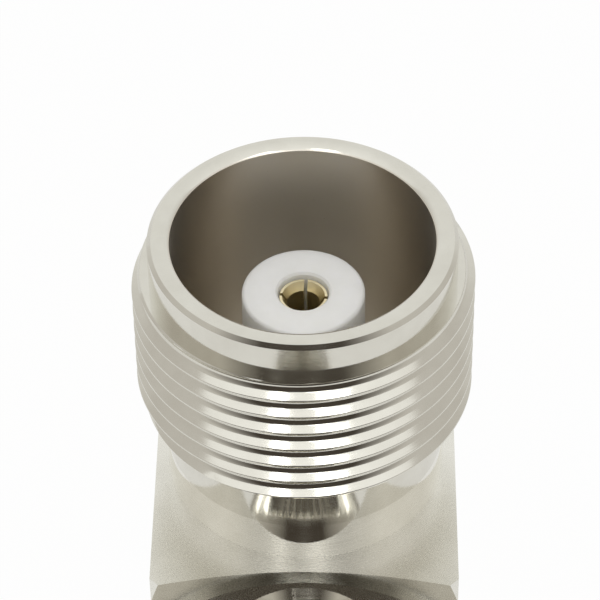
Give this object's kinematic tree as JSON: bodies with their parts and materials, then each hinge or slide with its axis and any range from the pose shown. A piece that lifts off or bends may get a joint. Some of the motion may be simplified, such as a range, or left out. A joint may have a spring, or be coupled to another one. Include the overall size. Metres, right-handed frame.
{
  "type": "right-angle coaxial adapter",
  "caption": "Plated right-angle high-voltage coaxial adapter: a threaded jack on a square block and a plug with a turning coupling nut.",
  "frame": {"origin": "centre of the jack's front face, on the jack's axis", "axes": "+Z along the jack's axis, out of its mouth; the plug points along -Y; X is across the block"},
  "size_m": [0.0222, 0.0387, 0.0403],
  "materials": {
    "white_bronze": "brass body with bright white-bronze plating, fine turning marks",
    "white_fluoropolymer": "white waxy fluoropolymer",
    "gold_plate": "gold-plated copper alloy",
    "spring_steel": "spring steel",
    "silicone_rubber": "red-brown silicone rubber"
  },
  "bodies": {
    "adapter": {"body_block": "white_bronze", "jack_shell": "white_bronze", "plug_shell": "white_bronze", "plug_outer_contact": "white_bronze", "access_cap": "white_bronze", "jack_insulator": "white_fluoropolymer", "jack_rear_bead": "white_fluoropolymer", "plug_insulator": "white_fluoropolymer", "plug_rear_bead": "white_fluoropolymer", "cap_insulator": "white_fluoropolymer", "jack_contact": "gold_plate", "plug_pin": "gold_plate", "elbow_junction": "gold_plate", "retaining_ring": "spring_steel", "gasket": "silicone_rubber"},
    "nut": {"coupling_nut": "white_bronze"}
  },
  "joints": [
    {"name": "nut_turn", "type": "hinge", "parent": "adapter", "child": "nut", "pos_m": [0, 0, -0.02921], "axis": [0, -1, 0], "continuous": true}
  ]
}
